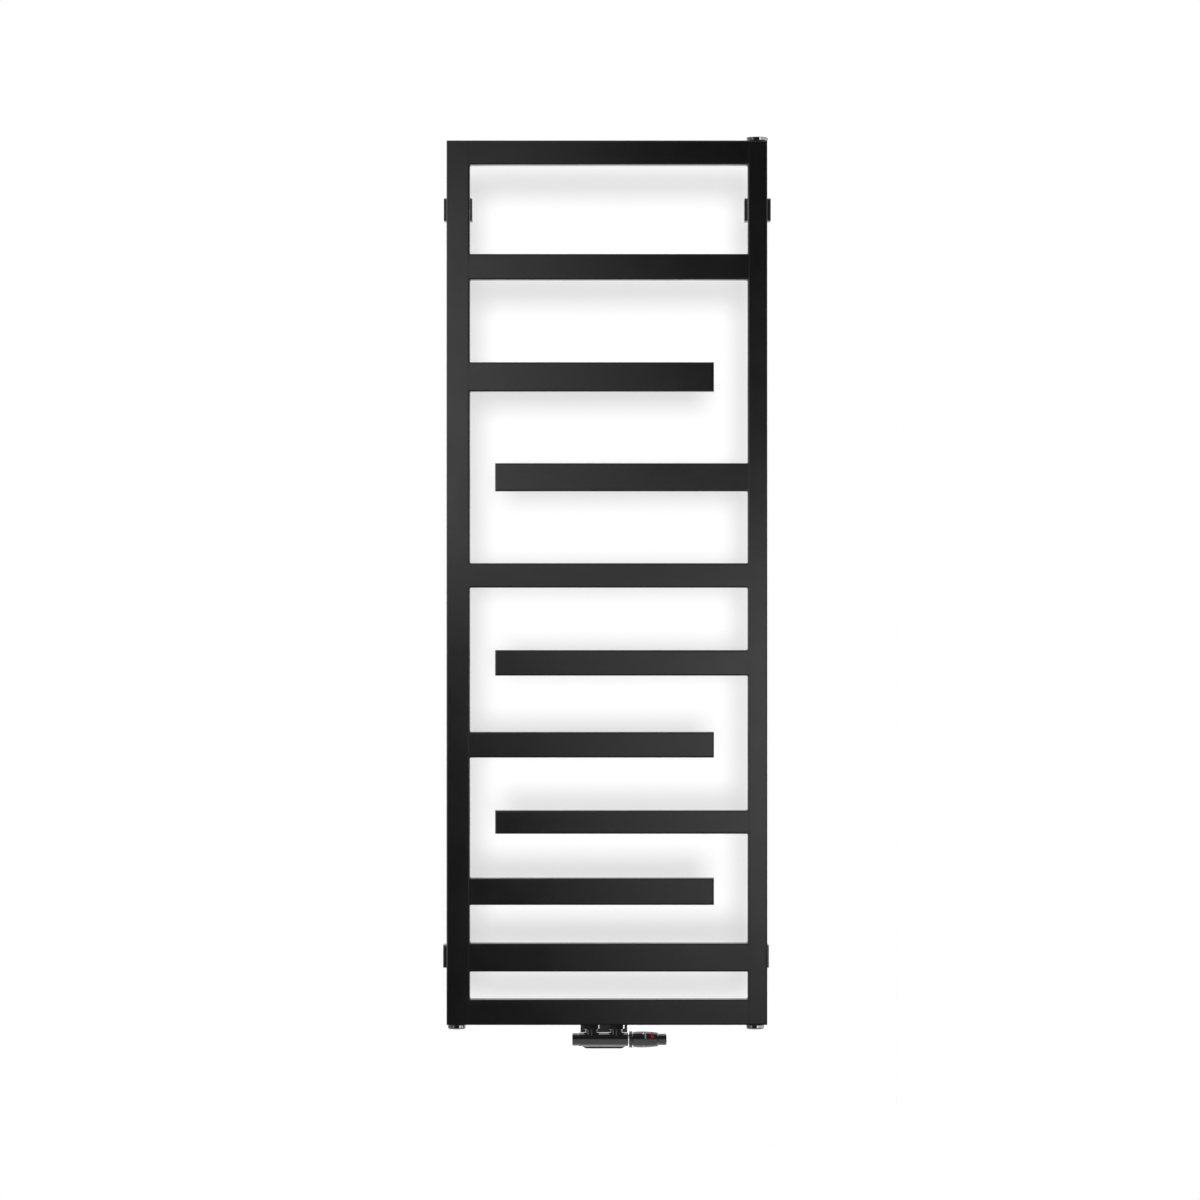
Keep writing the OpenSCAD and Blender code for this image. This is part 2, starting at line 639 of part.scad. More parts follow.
module pipe_sleeves() color([0.14, 0.14, 0.14]) at_pipes() difference() {
  sleeve_end = wall_y - nut_y - nut_l - face_gap;
  rod_y(-sleeve_end, -0.5, sleeve_r);
  rod_y(-sleeve_end - 1, 1, sleeve_r - sleeve_wall);
}

// ---- lockshield, on the left ----
gland_r = 4;
gland_x = body_left - 3;
spindle_in = 42;
housing_in = 34;
hex_af = 12;
lock_flange_r = 12;
lock_flange_t = 3.5;
lock_stub_r = 7;
lock_stub_l = 7.5;
module lockshield_housing() color([0.75, 0.6, 0.3]) translate(valve_pos) difference() {
  turned_x([[0, -housing_in], [chamber_r - fit_gap, -housing_in], [chamber_r - fit_gap, -body_left],
    [lock_flange_r, -body_left], [lock_flange_r, -body_left - lock_flange_t],
    [lock_stub_r, -body_left - lock_flange_t], [lock_stub_r, -body_left - lock_stub_l],
    [0, -body_left - lock_stub_l]]);
  rod_x(-body_left - lock_stub_l - 0.5, -housing_in, gland_r + fit_gap);
  rod_x(-gland_x, -gland_x + groove_w, gland_r + groove_depth);
  translate([-spindle_in, 0, 0]) rotate([0, 90, 0])
    cylinder(r = (hex_af / 2 + slide_gap) / cos(30), h = spindle_in, $fn = 6);
}

screw_r = 2.5;
screw_end = -seat_x - lock_lift - 10;
spindle_head = -body_left - lock_stub_l + 0.5;
module lockshield_spindle() color([0.6, 0.6, 0.62]) translate(valve_pos) difference() {
  turned_x([[0, spindle_head], [gland_r, spindle_head], [gland_r, -spindle_in + 0.2],
    [gland_r + 1.5, -spindle_in + 0.2], [gland_r + 1.5, -spindle_in + 1.7], [screw_r, -spindle_in + 1.7],
    [screw_r, screw_end], [0, screw_end]]);
  translate([spindle_head - 1, 0, 0]) rotate([0, 90, 0]) cylinder(r = 2 / cos(30), h = 6, $fn = 6);
}

module lockshield_cone() color([0.7, 0.6, 0.3]) translate(valve_pos) difference() {
  nose = -seat_x - lock_lift;
  union() {
    translate([-spindle_in + 3, 0, 0]) rotate([0, 90, 0])
      cylinder(r = hex_af / 2 / cos(30), h = spindle_in - 3 + nose - 6, $fn = 6);
    turned_x([[0, nose - 7.5], [seat_r + 2, nose - 7.5], [seat_r + 2, nose], [seat_r - 0.5, nose],
      [seat_r - 2, nose + 2], [0, nose + 2]]);
  }
  rod_x(-spindle_in, nose - 9, screw_r + fit_gap);
}

module lockshield_cap() color([0.15, 0.15, 0.15]) translate(valve_pos) difference() {
  turned_x([[0, -body_left - cap_l], [cap_r - 1, -body_left - cap_l], [cap_r, -body_left - cap_l + 1],
    [cap_r, -body_left - 0.2], [0, -body_left - 0.2]]);
  rod_x(-body_left - cap_l + 2.4, 0, lock_flange_r + 2 * fit_gap);
}

// ---- thermostatic insert, on the right ----
insert_in = 34;
pocket_end = 43;
stub_r = 8;
stub_l = 8;
module thermostat_insert() color([0.78, 0.76, 0.7]) translate(valve_pos) difference() {
  turned_x([[0, insert_in], [chamber_r - fit_gap, insert_in], [chamber_r - fit_gap, body_right],
    [body_r + 0.2, body_right], [body_r + 0.2, body_right + flange_t], [body_r - 0.1, body_right + flange_t],
    [body_r - 0.1, stub_end], [stub_r, stub_end], [stub_r, stub_end + stub_l], [0, stub_end + stub_l]]);
  rod_x(0, stub_end + stub_l + 1, pin_r + fit_gap);
  rod_x(0, pocket_end, pin_r + 3.2);
  rod_x(stub_end - 0.6 - groove_w, stub_end - 0.6, pin_r + groove_depth);
}

module o_ring_x(x, r) translate(valve_pos + [x, 0, 0]) rotate([0, 90, 0])
  rotate_extrude() translate([r + fit_gap + ring_r, 0]) circle(ring_r);
module gland_seals() color([0.1, 0.1, 0.1]) {
  o_ring_x(stub_end - 0.6 - groove_w / 2, pin_r);
  o_ring_x(-gland_x + groove_w / 2, gland_r);
}

disc_seal_t = 2;
disc_t = 2.5;
disc_r = 7;
disc_x = seat_x + valve_lift + disc_seal_t;
module valve_pin() color([0.62, 0.62, 0.64]) translate(valve_pos)
  turned_x([[0, disc_x], [disc_r, disc_x], [disc_r, disc_x + disc_t], [pin_r, disc_x + disc_t],
    [pin_r, pin_end], [0, pin_end]]);

module disc_washer() color([0.1, 0.1, 0.1]) translate(valve_pos)
  rod_x(disc_x - disc_seal_t, disc_x, disc_r + 0.2);

module pin_spring() color([0.7, 0.7, 0.72]) translate(valve_pos)
  coil_x(disc_x + disc_t + wire_gap, pocket_end - wire_gap, pin_r + 1.6, 0.5, 6);

// ---- thermostatic head ----
// the barrel's outline: it swells from the nut to its largest radius and tapers to the end
swell_x = base_x + 18;
barrel_end_x = handle_x + handle_l;
function barrel(x) = x < swell_x
  ? barrel_r - (barrel_r - barrel_root_r) * pow((swell_x - x) / (swell_x - base_x), 2)
  : barrel_r - (barrel_r - barrel_end_r) * pow((x - swell_x) / (barrel_end_x - swell_x), 1.6);
function barrel_line(x0, x1) = [for (k = [0:6]) let (x = x0 + (x1 - x0) * k / 6) [barrel(x), x]];

flutes = 18;
module head_nut() color([0.15, 0.15, 0.15]) translate(valve_pos) difference() {
  turned_x([[0, collar_x], [collar_r - 0.8, collar_x], [collar_r, collar_x + 0.8],
    [collar_r, collar_x + collar_l - 0.8], [collar_r - 0.8, collar_x + collar_l], [0, collar_x + collar_l]]);
  rod_x(0, collar_x + collar_l - 1.7, body_r - 0.1 + fit_gap);
  rod_x(0, base_x + 1, body_r - 1.4);
  for (a = [0:flutes - 1]) rotate([360 / flutes * (a + 0.5), 0, 0])
    translate([0, 0, collar_r + 0.7]) rod_x(0, base_x + 1, 1.3);
}

module head_base() color([0.15, 0.15, 0.15]) translate(valve_pos)
  turned_x(concat([[guide_r, stub_end + 0.1], [body_r - 0.3, stub_end + 0.1],
    [body_r - 0.3, base_x - 1.8], [body_r - 1.5, base_x - 1.8], [body_r - 1.5, base_x + 1.4],
    [barrel_root_r - 0.6, base_x + 1.4]], barrel_line(base_x + 2, base_x + base_l),
    [[barrel_r - 2.2, base_x + base_l], [barrel_root_r - 2, base_x + 4], [tube_r, base_x + 4],
     [tube_r, tube_end], [guide_r, tube_end]]));

// the handle's outer shape, thicker by extra
module handle_envelope(extra) turned_x(concat([[0, handle_x]],
  [for (p = barrel_line(handle_x, barrel_end_x)) p + [extra, 0]],
  [[knob_r + 0.4 + extra, knob_x], [0, knob_x]]));

mark_x = handle_x + 16.8;
slot_angle = 62;
mark_reach = 40;
// places a child on the barrel: x along it, a in degrees above the front, z outwards
module on_barrel(x, a) translate([x, 0, 0]) rotate([90 - a, 0, 0]) children();

// the handle turns on the base's tube at two bearings, with a hollow between them
mouth_r = 13.4;
hollow_r = 12.9;
mouth_l = 1.7;
bearing_l = 3;
hollow_l = 10;
bearing_r = tube_r + fit_gap;
plug_pin_r = 6;
module head_handle() color([0.15, 0.15, 0.15]) translate(valve_pos) difference() {
  hollow_x = handle_x + mouth_l + bearing_l;
  handle_envelope(0);
  turned_x([[0, handle_x - 1], [mouth_r, handle_x - 1], [mouth_r, handle_x + mouth_l],
    [bearing_r, handle_x + mouth_l], [bearing_r, hollow_x], [hollow_r, hollow_x],
    [hollow_r, hollow_x + hollow_l], [bearing_r, hollow_x + hollow_l], [bearing_r, wall_x], [0, wall_x]]);
  rod_x(wall_x - 1, knob_x + 1, plug_pin_r + fit_gap);
  on_barrel(mark_x, mark_angle) cylinder(r = mark_r + fit_gap, h = mark_reach);
  on_barrel(mark_x, slot_angle) translate([0, 0, barrel(mark_x) - 1]) cube([6, 2.6, 4], center = true);
}

module red_mark() color([0.7, 0.02, 0.02]) translate(valve_pos) intersection() {
  on_barrel(mark_x, mark_angle) translate([0, 0, tube_r + 4 * fit_gap]) cylinder(r = mark_r, h = mark_reach);
  handle_envelope(0.15);
}

module handle_end_cap() color([0.15, 0.15, 0.15]) translate(valve_pos)
  turned_x([[0, wall_x + 0.2], [plug_pin_r, wall_x + 0.2], [plug_pin_r, knob_x + knob_l - 3],
    [knob_r - 2, knob_x + knob_l - 3],
    [knob_r - 2, knob_x], [knob_r, knob_x], [knob_r, knob_x + knob_l - 1.8],
    [knob_r - 1.6, knob_x + knob_l], [0, knob_x + knob_l]]);

sensor_x = pin_end + 2;
sensor_end = tube_end - 1;
module sensor_capsule() color([0.72, 0.73, 0.75]) translate(valve_pos)
  turned_x([[0, pin_end], [4, pin_end], [4, sensor_x], [sensor_r - 1, sensor_x], [sensor_r, sensor_x + 1],
    [sensor_r, sensor_end - 1], [sensor_r - 1, sensor_end], [0, sensor_end]]);

module overtravel_spring() color([0.7, 0.7, 0.72]) translate(valve_pos)
  coil_x(sensor_end + wire_gap, wall_x - wire_gap, 7.2, 0.6, 3);

// ---- the parts ----
left_collector();
right_collector();
bottom_bar();
bar(top);  // top_bar
for (i = [1:9]) bar(i);
bar_end_caps();
top_left_end_plate();
top_right_end_plate();
bottom_left_end_plate();
bottom_right_end_plate();
connection_sockets();
flow_baffle();
left_plug();
right_plug();
thread_seals();
vent_body();
vent_screw();
mounting_studs();
mounting_nuts();
upper_left_cover();
upper_right_cover();
lower_left_cover();
lower_right_cover();
left_wall_anchors();
right_wall_anchors();
locking_screws();
valve_body();
union_nuts();
tailpieces();
union_washers();
pipe_nuts();
pipe_olives();
rosette();
pipe_sleeves();
lockshield_housing();
lockshield_spindle();
lockshield_cone();
lockshield_cap();
thermostat_insert();
pin_spring();
valve_pin();
disc_washer();
gland_seals();
head_nut();
head_base();
head_handle();
handle_end_cap();
red_mark();
sensor_capsule();
overtravel_spring();
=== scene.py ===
# %% [markdown]
# # A black towel warmer for the wall
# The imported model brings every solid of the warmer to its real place, in metres. Scaling or moving
# them here would break the fit with the joints, so this lesson leaves them where they are. It adds
# the finishes, the small things that only the eye needs, the room and the light.

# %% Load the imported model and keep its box
import math

import bmesh
import bpy
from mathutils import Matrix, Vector, noise
from mathutils.bvhtree import BVHTree


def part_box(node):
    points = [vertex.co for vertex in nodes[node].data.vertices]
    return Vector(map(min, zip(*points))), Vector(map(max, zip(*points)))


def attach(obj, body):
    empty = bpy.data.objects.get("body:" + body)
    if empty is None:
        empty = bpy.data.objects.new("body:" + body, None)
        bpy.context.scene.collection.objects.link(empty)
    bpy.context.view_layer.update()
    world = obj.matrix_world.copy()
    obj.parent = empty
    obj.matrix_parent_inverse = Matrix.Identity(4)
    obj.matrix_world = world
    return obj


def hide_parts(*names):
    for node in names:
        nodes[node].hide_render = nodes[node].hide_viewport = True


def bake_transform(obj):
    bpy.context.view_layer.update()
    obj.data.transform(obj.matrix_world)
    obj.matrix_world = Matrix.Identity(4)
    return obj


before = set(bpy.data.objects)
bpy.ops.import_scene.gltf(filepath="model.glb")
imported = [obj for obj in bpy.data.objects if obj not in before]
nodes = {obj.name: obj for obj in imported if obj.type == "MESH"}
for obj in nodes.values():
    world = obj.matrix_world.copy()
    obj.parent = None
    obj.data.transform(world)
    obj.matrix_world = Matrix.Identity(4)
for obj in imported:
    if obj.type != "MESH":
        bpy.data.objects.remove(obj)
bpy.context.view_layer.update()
MM = 0.001

# %% [markdown]
# ## Camera
# A tall flat object looks right from straight in front and from far away, because the bars then
# stay level and the tubes' sides stay hidden. A wide lens close up would fan the bars out. So the
# lens is long, and it stands ten metres from the front faces.

# %% Camera
CAMERA_PLACE = (-0.0157, -10.09, -0.034)
LONG_LENS = 150.4
camera_data = bpy.data.cameras.new("studio_camera")
camera_data.sensor_width = 36
camera_data.lens = LONG_LENS
camera_data.clip_end = 60
camera = bpy.data.objects.new("studio_camera", camera_data)
camera.location = CAMERA_PLACE
camera.rotation_euler = (math.radians(90), 0, 0)
bpy.context.scene.collection.objects.link(camera)
bpy.context.scene.camera = camera
bpy.context.scene.view_settings.view_transform = "Standard"
print("camera at", CAMERA_PLACE, "with a lens of", LONG_LENS, "mm")

# %% [markdown]
# ## A kit for shader nodes
# Every finish below is a small net of nodes. Written out link by link they would be long and hard
# to read, so short helpers do the wiring: one adds a node with its inputs, one opens a group with
# named sockets, and two do the sums.

# %% Node helpers
COLOUR, VALUE, VECTOR = "NodeSocketColor", "NodeSocketFloat", "NodeSocketVector"


def add(tree, kind, inputs=None, **settings):
    """Adds a node. Each input is a plain value, or the output that feeds it."""
    made = tree.nodes.new("ShaderNode" + kind)
    for name, value in settings.items():
        setattr(made, name, value)
    for name, value in (inputs or {}).items():
        if isinstance(value, bpy.types.NodeSocket):
            tree.links.new(value, made.inputs[name])
        else:
            made.inputs[name].default_value = value
    return made


def open_group(name, inputs, outputs):
    """A new node group: its tree, what it is given, and the node that takes its results."""
    tree = bpy.data.node_groups.new(name, "ShaderNodeTree")
    for label, kind, value in inputs:
        tree.interface.new_socket(name=label, in_out="INPUT", socket_type=kind).default_value = value
    for label, kind in outputs:
        tree.interface.new_socket(name=label, in_out="OUTPUT", socket_type=kind)
    given, result = tree.nodes.new("NodeGroupInput"), tree.nodes.new("NodeGroupOutput")
    return tree, given.outputs, result.inputs


def mapped(tree, value, low, high, to_low, to_high):
    """The value, stretched from one range to another."""
    return add(tree, "MapRange", {"Value": value, "From Min": low, "From Max": high,
                                  "To Min": to_low, "To Max": to_high}).outputs[0]


def math_node(tree, what, a, b):
    """One sum of two values, such as ADD or MULTIPLY."""
    return add(tree, "Math", {0: a, 1: b}, operation=what).outputs[0]


NOISE = (0.3, 0.7)  # the range that noise seldom leaves
print("node helpers ready, with noise taken from", *NOISE)

# %% [markdown]
# ## Sprayed skin
# Powder coat and moulded plastic are never quite flat. The skin has a fine ripple like orange peel,
# its gloss drifts a little from place to place, and specks of it are lighter. The ripple could be
# modelled, but at half a millimetre it would need millions of faces, so it is a bump.

# %% Group: sprayed skin
skin_tree, given, result = open_group(
    "Sprayed skin",
    [("Colour", COLOUR, (0.01, 0.01, 0.01, 1)), ("Speckle", VALUE, 0.2), ("Peel scale", VALUE, 700),
     ("Peel height", VALUE, 0.00001), ("Roughness", VALUE, 0.25), ("Gloss drift", VALUE, 0.05)],
    [("Colour", COLOUR), ("Roughness", VALUE), ("Normal", VECTOR)])
place = add(skin_tree, "TexCoord").outputs["Object"]
peel = add(skin_tree, "TexNoise", {"Vector": place, "Scale": given["Peel scale"], "Detail": 2.0})
bump = add(skin_tree, "Bump", {"Height": peel.outputs[0], "Distance": given["Peel height"]})
drift = add(skin_tree, "TexNoise", {"Vector": place, "Scale": 16.0, "Detail": 4.0})
speck = add(skin_tree, "TexNoise", {"Vector": place, "Scale": 2600.0, "Detail": 1.0})
spread = mapped(skin_tree, drift.outputs[0], *NOISE, -1.0, 1.0)
swing = math_node(skin_tree, "MULTIPLY", spread, given["Gloss drift"])
skin_tree.links.new(math_node(skin_tree, "ADD", swing, given["Roughness"]), result["Roughness"])
lift = mapped(skin_tree, speck.outputs[0], *NOISE, -1.0, 1.0)
lift = math_node(skin_tree, "MULTIPLY", lift, given["Speckle"])
lift = math_node(skin_tree, "ADD", lift, 1.0)
tinted = add(skin_tree, "VectorMath", {0: given["Colour"], "Scale": lift}, operation="SCALE")
skin_tree.links.new(tinted.outputs[0], result["Colour"])
skin_tree.links.new(bump.outputs[0], result["Normal"])
print("sprayed skin:", len(skin_tree.nodes), "nodes")

# %% [markdown]
# ## Rubbed edges
# Hands, towels and polishing cloths wear an edge first. The mask finds edges by comparing the real
# normal with one rounded over a small reach, so it needs no painted map and follows any shape.

# %% Group: rubbed edges
rub_tree, given, result = open_group(
    "Rubbed edges", [("Reach", VALUE, 0.001), ("Amount", VALUE, 0.5)], [("Mask", VALUE)])
rounded = add(rub_tree, "Bevel", {"Radius": given["Reach"]}, samples=4)
true = add(rub_tree, "NewGeometry")
alike = add(rub_tree, "VectorMath", {0: rounded.outputs[0], 1: true.outputs["Normal"]},
            operation="DOT_PRODUCT").outputs["Value"]
edge = mapped(rub_tree, alike, 0.8, 0.99, 1.0, 0.0)
place = add(rub_tree, "TexCoord").outputs["Object"]
patchy = add(rub_tree, "TexNoise", {"Vector": place, "Scale": 160.0, "Detail": 3.0})
patchy = mapped(rub_tree, patchy.outputs[0], 0.35, 0.65, 0.2, 1.0)
edge = math_node(rub_tree, "MULTIPLY", edge, patchy)
rub_tree.links.new(math_node(rub_tree, "MULTIPLY", edge, given["Amount"]), result["Mask"])
print("rubbed edges:", len(rub_tree.nodes), "nodes")

# %% [markdown]
# ## Settled dust
# Dust lies on what faces up, so its mask reads how far the surface leans and is broken up with
# noise. A real one would be a layer of specks. On a clean new warmer a faint tint is enough.

# %% Group: settled dust
dust_tree, given, result = open_group(
    "Settled dust", [("Amount", VALUE, 0.1)], [("Mask", VALUE)])
up = add(dust_tree, "SeparateXYZ", {0: add(dust_tree, "NewGeometry").outputs["Normal"]}).outputs["Z"]
up = mapped(dust_tree, up, 0.6, 1.0, 0.0, 1.0)
place = add(dust_tree, "TexCoord").outputs["Object"]
patchy = add(dust_tree, "TexNoise", {"Vector": place, "Scale": 60.0, "Detail": 6.0})
patchy = mapped(dust_tree, patchy.outputs[0], 0.35, 0.7, 0.2, 1.0)
up = math_node(dust_tree, "MULTIPLY", up, patchy)
dust_tree.links.new(math_node(dust_tree, "MULTIPLY", up, given["Amount"]), result["Mask"])
print("settled dust:", len(dust_tree.nodes), "nodes")

# %% [markdown]
# ## Tool marks
# Bare metal shows how it was cut: fine lines that run one way. Stretched noise makes them. The
# stretch is a vector, so one group gives turned lines round an axis and brushed lines along it.

# %% Group: tool marks
mark_tree, given, result = open_group(
    "Tool marks",
    [("Lines", VECTOR, (2000, 60, 60)), ("Depth", VALUE, 0.000004), ("Roughness", VALUE, 0.2),
     ("Gloss drift", VALUE, 0.06), ("Colour", COLOUR, (0.5, 0.5, 0.5, 1)), ("Tarnish", VALUE, 0.15)],
    [("Colour", COLOUR), ("Roughness", VALUE), ("Normal", VECTOR)])
place = add(mark_tree, "TexCoord").outputs["Object"]
stretched = add(mark_tree, "VectorMath", {0: place, 1: given["Lines"]}, operation="MULTIPLY")
lines = add(mark_tree, "TexNoise", {"Vector": stretched.outputs[0], "Scale": 1.0, "Detail": 3.0})
bump = add(mark_tree, "Bump", {"Height": lines.outputs[0], "Distance": given["Depth"]})
swing = mapped(mark_tree, lines.outputs[0], *NOISE, -1.0, 1.0)
swing = math_node(mark_tree, "MULTIPLY", swing, given["Gloss drift"])
mark_tree.links.new(math_node(mark_tree, "ADD", swing, given["Roughness"]), result["Roughness"])
stain = add(mark_tree, "TexNoise", {"Vector": place, "Scale": 90.0, "Detail": 5.0})
stain = mapped(mark_tree, stain.outputs[0], 0.4, 0.7, 0.0, 1.0)
stain = math_node(mark_tree, "MULTIPLY", stain, given["Tarnish"])
stain = math_node(mark_tree, "SUBTRACT", 1.0, stain)
tinted = add(mark_tree, "VectorMath", {0: given["Colour"], "Scale": stain}, operation="SCALE")
mark_tree.links.new(tinted.outputs[0], result["Colour"])
mark_tree.links.new(bump.outputs[0], result["Normal"])
print("tool marks:", len(mark_tree.nodes), "nodes")

# %% [markdown]
# ## Finishes
# The tubes and brackets are powder-coated steel, the valve is lacquered, and the head is moulded
# plastic. All are a sprayed skin with other values: how black, how glossy, how strong the ripple.
# Bare metal parts take the tool marks instead. What is the same all over a surface, such as the
# metallic value, is set on the shader itself.

# %% Two kinds of finish
DUST_TINT = (0.30, 0.29, 0.27, 1)


def shader_for(name, constants):
    """A material with an empty tree, a Principled shader and its plain values."""
    material = bpy.data.materials.new(name)
    material.use_nodes = True
    tree = material.node_tree
    tree.nodes.clear()
    shader = add(tree, "BsdfPrincipled", constants)
    tree.links.new(shader.outputs[0], add(tree, "OutputMaterial").inputs["Surface"])
    return material, tree, shader


def place_group(tree, group, inputs):
    """A group with its values set. Returns its outputs."""
    made = tree.nodes.new("ShaderNodeGroup")
    made.node_tree = group
    for name, value in inputs.items():
        made.inputs[name].default_value = value
    return made.outputs


def blended(tree, mask, below, above):
    """Two colours, mixed by a mask."""
    return add(tree, "Mix", {0: mask, 6: below, 7: above}, data_type="RGBA").outputs[2]


def sprayed(name, colour, skin, rub, dust, constants):
    """Paint or plastic: skin, paler rubbed edges, then dust. Rub is reach, amount and colour."""
    material, tree, shader = shader_for(name, constants)
    coat = place_group(tree, skin_tree, {"Colour": (*colour, 1), **skin})
    edges = place_group(tree, rub_tree, {"Reach": rub[0], "Amount": rub[1]})
    worn = blended(tree, edges["Mask"], coat["Colour"], (*rub[2], 1))
    lying = place_group(tree, dust_tree, {"Amount": dust})
    dusty = blended(tree, lying["Mask"], worn, DUST_TINT)
    tree.links.new(dusty, shader.inputs["Base Color"])
    tree.links.new(coat["Roughness"], shader.inputs["Roughness"])
    tree.links.new(coat["Normal"], shader.inputs["Normal"])
    return material


def machined(name, colour, marks, rub, constants):
    """Bare metal: tool marks, then brighter rubbed edges."""
    material, tree, shader = shader_for(name, constants)
    cut = place_group(tree, mark_tree, {"Colour": (*colour, 1), **marks})
    edges = place_group(tree, rub_tree, {"Reach": rub[0], "Amount": rub[1]})
    worn = blended(tree, edges["Mask"], cut["Colour"], (*rub[2], 1))
    tree.links.new(worn, shader.inputs["Base Color"])
    tree.links.new(cut["Roughness"], shader.inputs["Roughness"])
    tree.links.new(cut["Normal"], shader.inputs["Normal"])
    return material


print("finishes are built by", sprayed.__name__, "and", machined.__name__)

# %% [markdown]
# The frame's coat is the deepest black and takes its light from its gloss alone. The valve and the
# head are a shade lighter and glossier, and their edges have worn to grey. Rubber is nearly matt.

# %% The black finishes
GREY = (0.05, 0.05, 0.05)
VALVE_GREY = (0.06, 0.06, 0.06)
COATED = {"Metallic": 0.0, "IOR": 1.5}
finishes = {
    "tube_black": sprayed(
        "tube_black", (0.0022, 0.0022, 0.0023),
        {"Speckle": 0.35, "Peel scale": 650, "Peel height": 3e-6, "Roughness": 0.19, "Gloss drift": 0.02},
        (0.0008, 0.03, GREY), 0.03, COATED),
    "bracket_black": sprayed(
        "bracket_black", (0.004, 0.004, 0.004),
        {"Speckle": 0.4, "Peel scale": 900, "Peel height": 5e-6, "Roughness": 0.26, "Gloss drift": 0.04},
        (0.0008, 0.1, GREY), 0.04, COATED),
    "valve_black": sprayed(
        "valve_black", (0.009, 0.009, 0.009),
        {"Speckle": 0.25, "Peel scale": 1200, "Peel height": 1.5e-6, "Roughness": 0.1, "Gloss drift": 0.03},
        (0.0005, 0.4, VALVE_GREY), 0.04, COATED),
    "handle_black": sprayed(
        "handle_black", (0.009, 0.009, 0.009),
        {"Speckle": 0.15, "Peel scale": 2000, "Peel height": 1e-6, "Roughness": 0.13, "Gloss drift": 0.03},
        (0.0005, 0.4, VALVE_GREY), 0.03, COATED),
    "rosette_black": sprayed(
        "rosette_black", (0.026, 0.022, 0.023),
        {"Speckle": 0.2, "Peel scale": 1500, "Peel height": 6e-6, "Roughness": 0.38, "Gloss drift": 0.06},
        (0.0006, 0.3, (0.08, 0.07, 0.07)), 0.05, COATED),
    "red_plastic": sprayed(
        "red_plastic", (0.32, 0.002, 0.003),
        {"Speckle": 0.1, "Peel scale": 2000, "Peel height": 3e-6, "Roughness": 0.2, "Gloss drift": 0.04},
        (0.0003, 0.3, (0.4, 0.02, 0.02)), 0.0, COATED),
    "rubber": sprayed(
        "rubber", (0.02, 0.02, 0.02),
        {"Speckle": 0.4, "Peel scale": 3000, "Peel height": 2e-5, "Roughness": 0.7, "Gloss drift": 0.08},
        (0.0003, 0.3, GREY), 0.03, {"Metallic": 0.0, "IOR": 1.45}),
}
print(len(finishes), "black and coloured finishes")

# %% [markdown]
# Chrome, brass, nickel, zinc-plated steel and aluminium differ in tint, in how deep the cutter's
# lines are and how far the surface has dulled.

# %% The bare metals
TURNED = (2400, 70, 70)
UPRIGHT = (60, 60, 1800)
ROLLED = (300, 900, 300)
METAL = {"Metallic": 1.0}
finishes.update({
    "chrome": machined(
        "chrome", (0.62, 0.61, 0.6),
        {"Lines": UPRIGHT, "Depth": 3e-7, "Roughness": 0.06, "Gloss drift": 0.02, "Tarnish": 0.06},
        (0.0004, 0.4, (0.8, 0.8, 0.8)), METAL),
    "brass": machined(
        "brass", (0.72, 0.55, 0.28),
        {"Lines": TURNED, "Depth": 4e-6, "Roughness": 0.26, "Gloss drift": 0.08, "Tarnish": 0.3},
        (0.0004, 0.5, (0.85, 0.7, 0.42)), METAL),
    "nickel": machined(
        "nickel", (0.7, 0.69, 0.66),
        {"Lines": TURNED, "Depth": 3e-6, "Roughness": 0.2, "Gloss drift": 0.06, "Tarnish": 0.15},
        (0.0004, 0.5, (0.85, 0.84, 0.8)), METAL),
    "steel": machined(
        "steel", (0.55, 0.56, 0.58),
        {"Lines": ROLLED, "Depth": 6e-6, "Roughness": 0.36, "Gloss drift": 0.1, "Tarnish": 0.35},
        (0.0005, 0.5, (0.75, 0.76, 0.78)), METAL),
    "aluminium": machined(
        "aluminium", (0.78, 0.79, 0.8),
        {"Lines": TURNED, "Depth": 4e-6, "Roughness": 0.28, "Gloss drift": 0.06, "Tarnish": 0.1},
        (0.0004, 0.4, (0.9, 0.9, 0.9)), METAL),
})
for name, piece in nodes.items():
    slots = piece.data.materials
    for index, old in enumerate(slots):
        slots[index] = finishes[old.name.split(".")[0]]
print(len(finishes), "finishes on", len(nodes), "nodes")

# %% [markdown]
# ## Weld beads
# Where a bar runs into a collector the two are welded. The front is ground flush before coating,
# but the bead stays over the top, round the back and underneath. A boolean or a bevel would give a
# plain fillet. A real bead is a row of overlapping drops, so it is built as a tube that swells and
# narrows along its way round the bar.

# %% The way round a bar
EDGE = 3 * MM
FRONT_GAP = 1.6 * EDGE
STEP = 1.2 * MM


def way_round(low, high, front, back, over, under):
    """Points over the top of a bar, down its back and along below, in the y-z plane. A bar at the
    end of the collectors is flush with them, so it has no bead on that side."""
    corners = [(back, high - EDGE), (back, low + EDGE)]
    if over:
        corners = [(front + FRONT_GAP, high), (back - EDGE, high)] + corners
    if under:
        corners += [(back - EDGE, low), (front + FRONT_GAP, low)]
    points = []
    for (y0, z0), (y1, z1) in zip(corners, corners[1:]):
        steps = max(2, round(math.hypot(y1 - y0, z1 - z0) / STEP))
        for t in (k / steps for k in range(steps)):
            points.append(Vector((0, y0 + (y1 - y0) * t, z0 + (z1 - z0) * t)))
    return points + [Vector((0, *corners[-1]))]


print("a bead steps", round(STEP / MM, 2), "mm at a time")

# %% [markdown]
# Beads, springs and ink marks are all rings of points joined up, so the same helpers serve them
# all: one sets out a round ring, one joins rings up, and one turns the result into a piece that
# moves with the right body.

# %% Rings into a piece
ACROSS = Vector((1, 0, 0))


def ring_round(mesh, centre, radius, first, second, sides):
    """A ring of points round a centre, in the plane of two directions."""
    return [mesh.verts.new(centre + radius * (math.cos(a) * first + math.sin(a) * second))
            for a in (math.tau * s / sides for s in range(sides))]


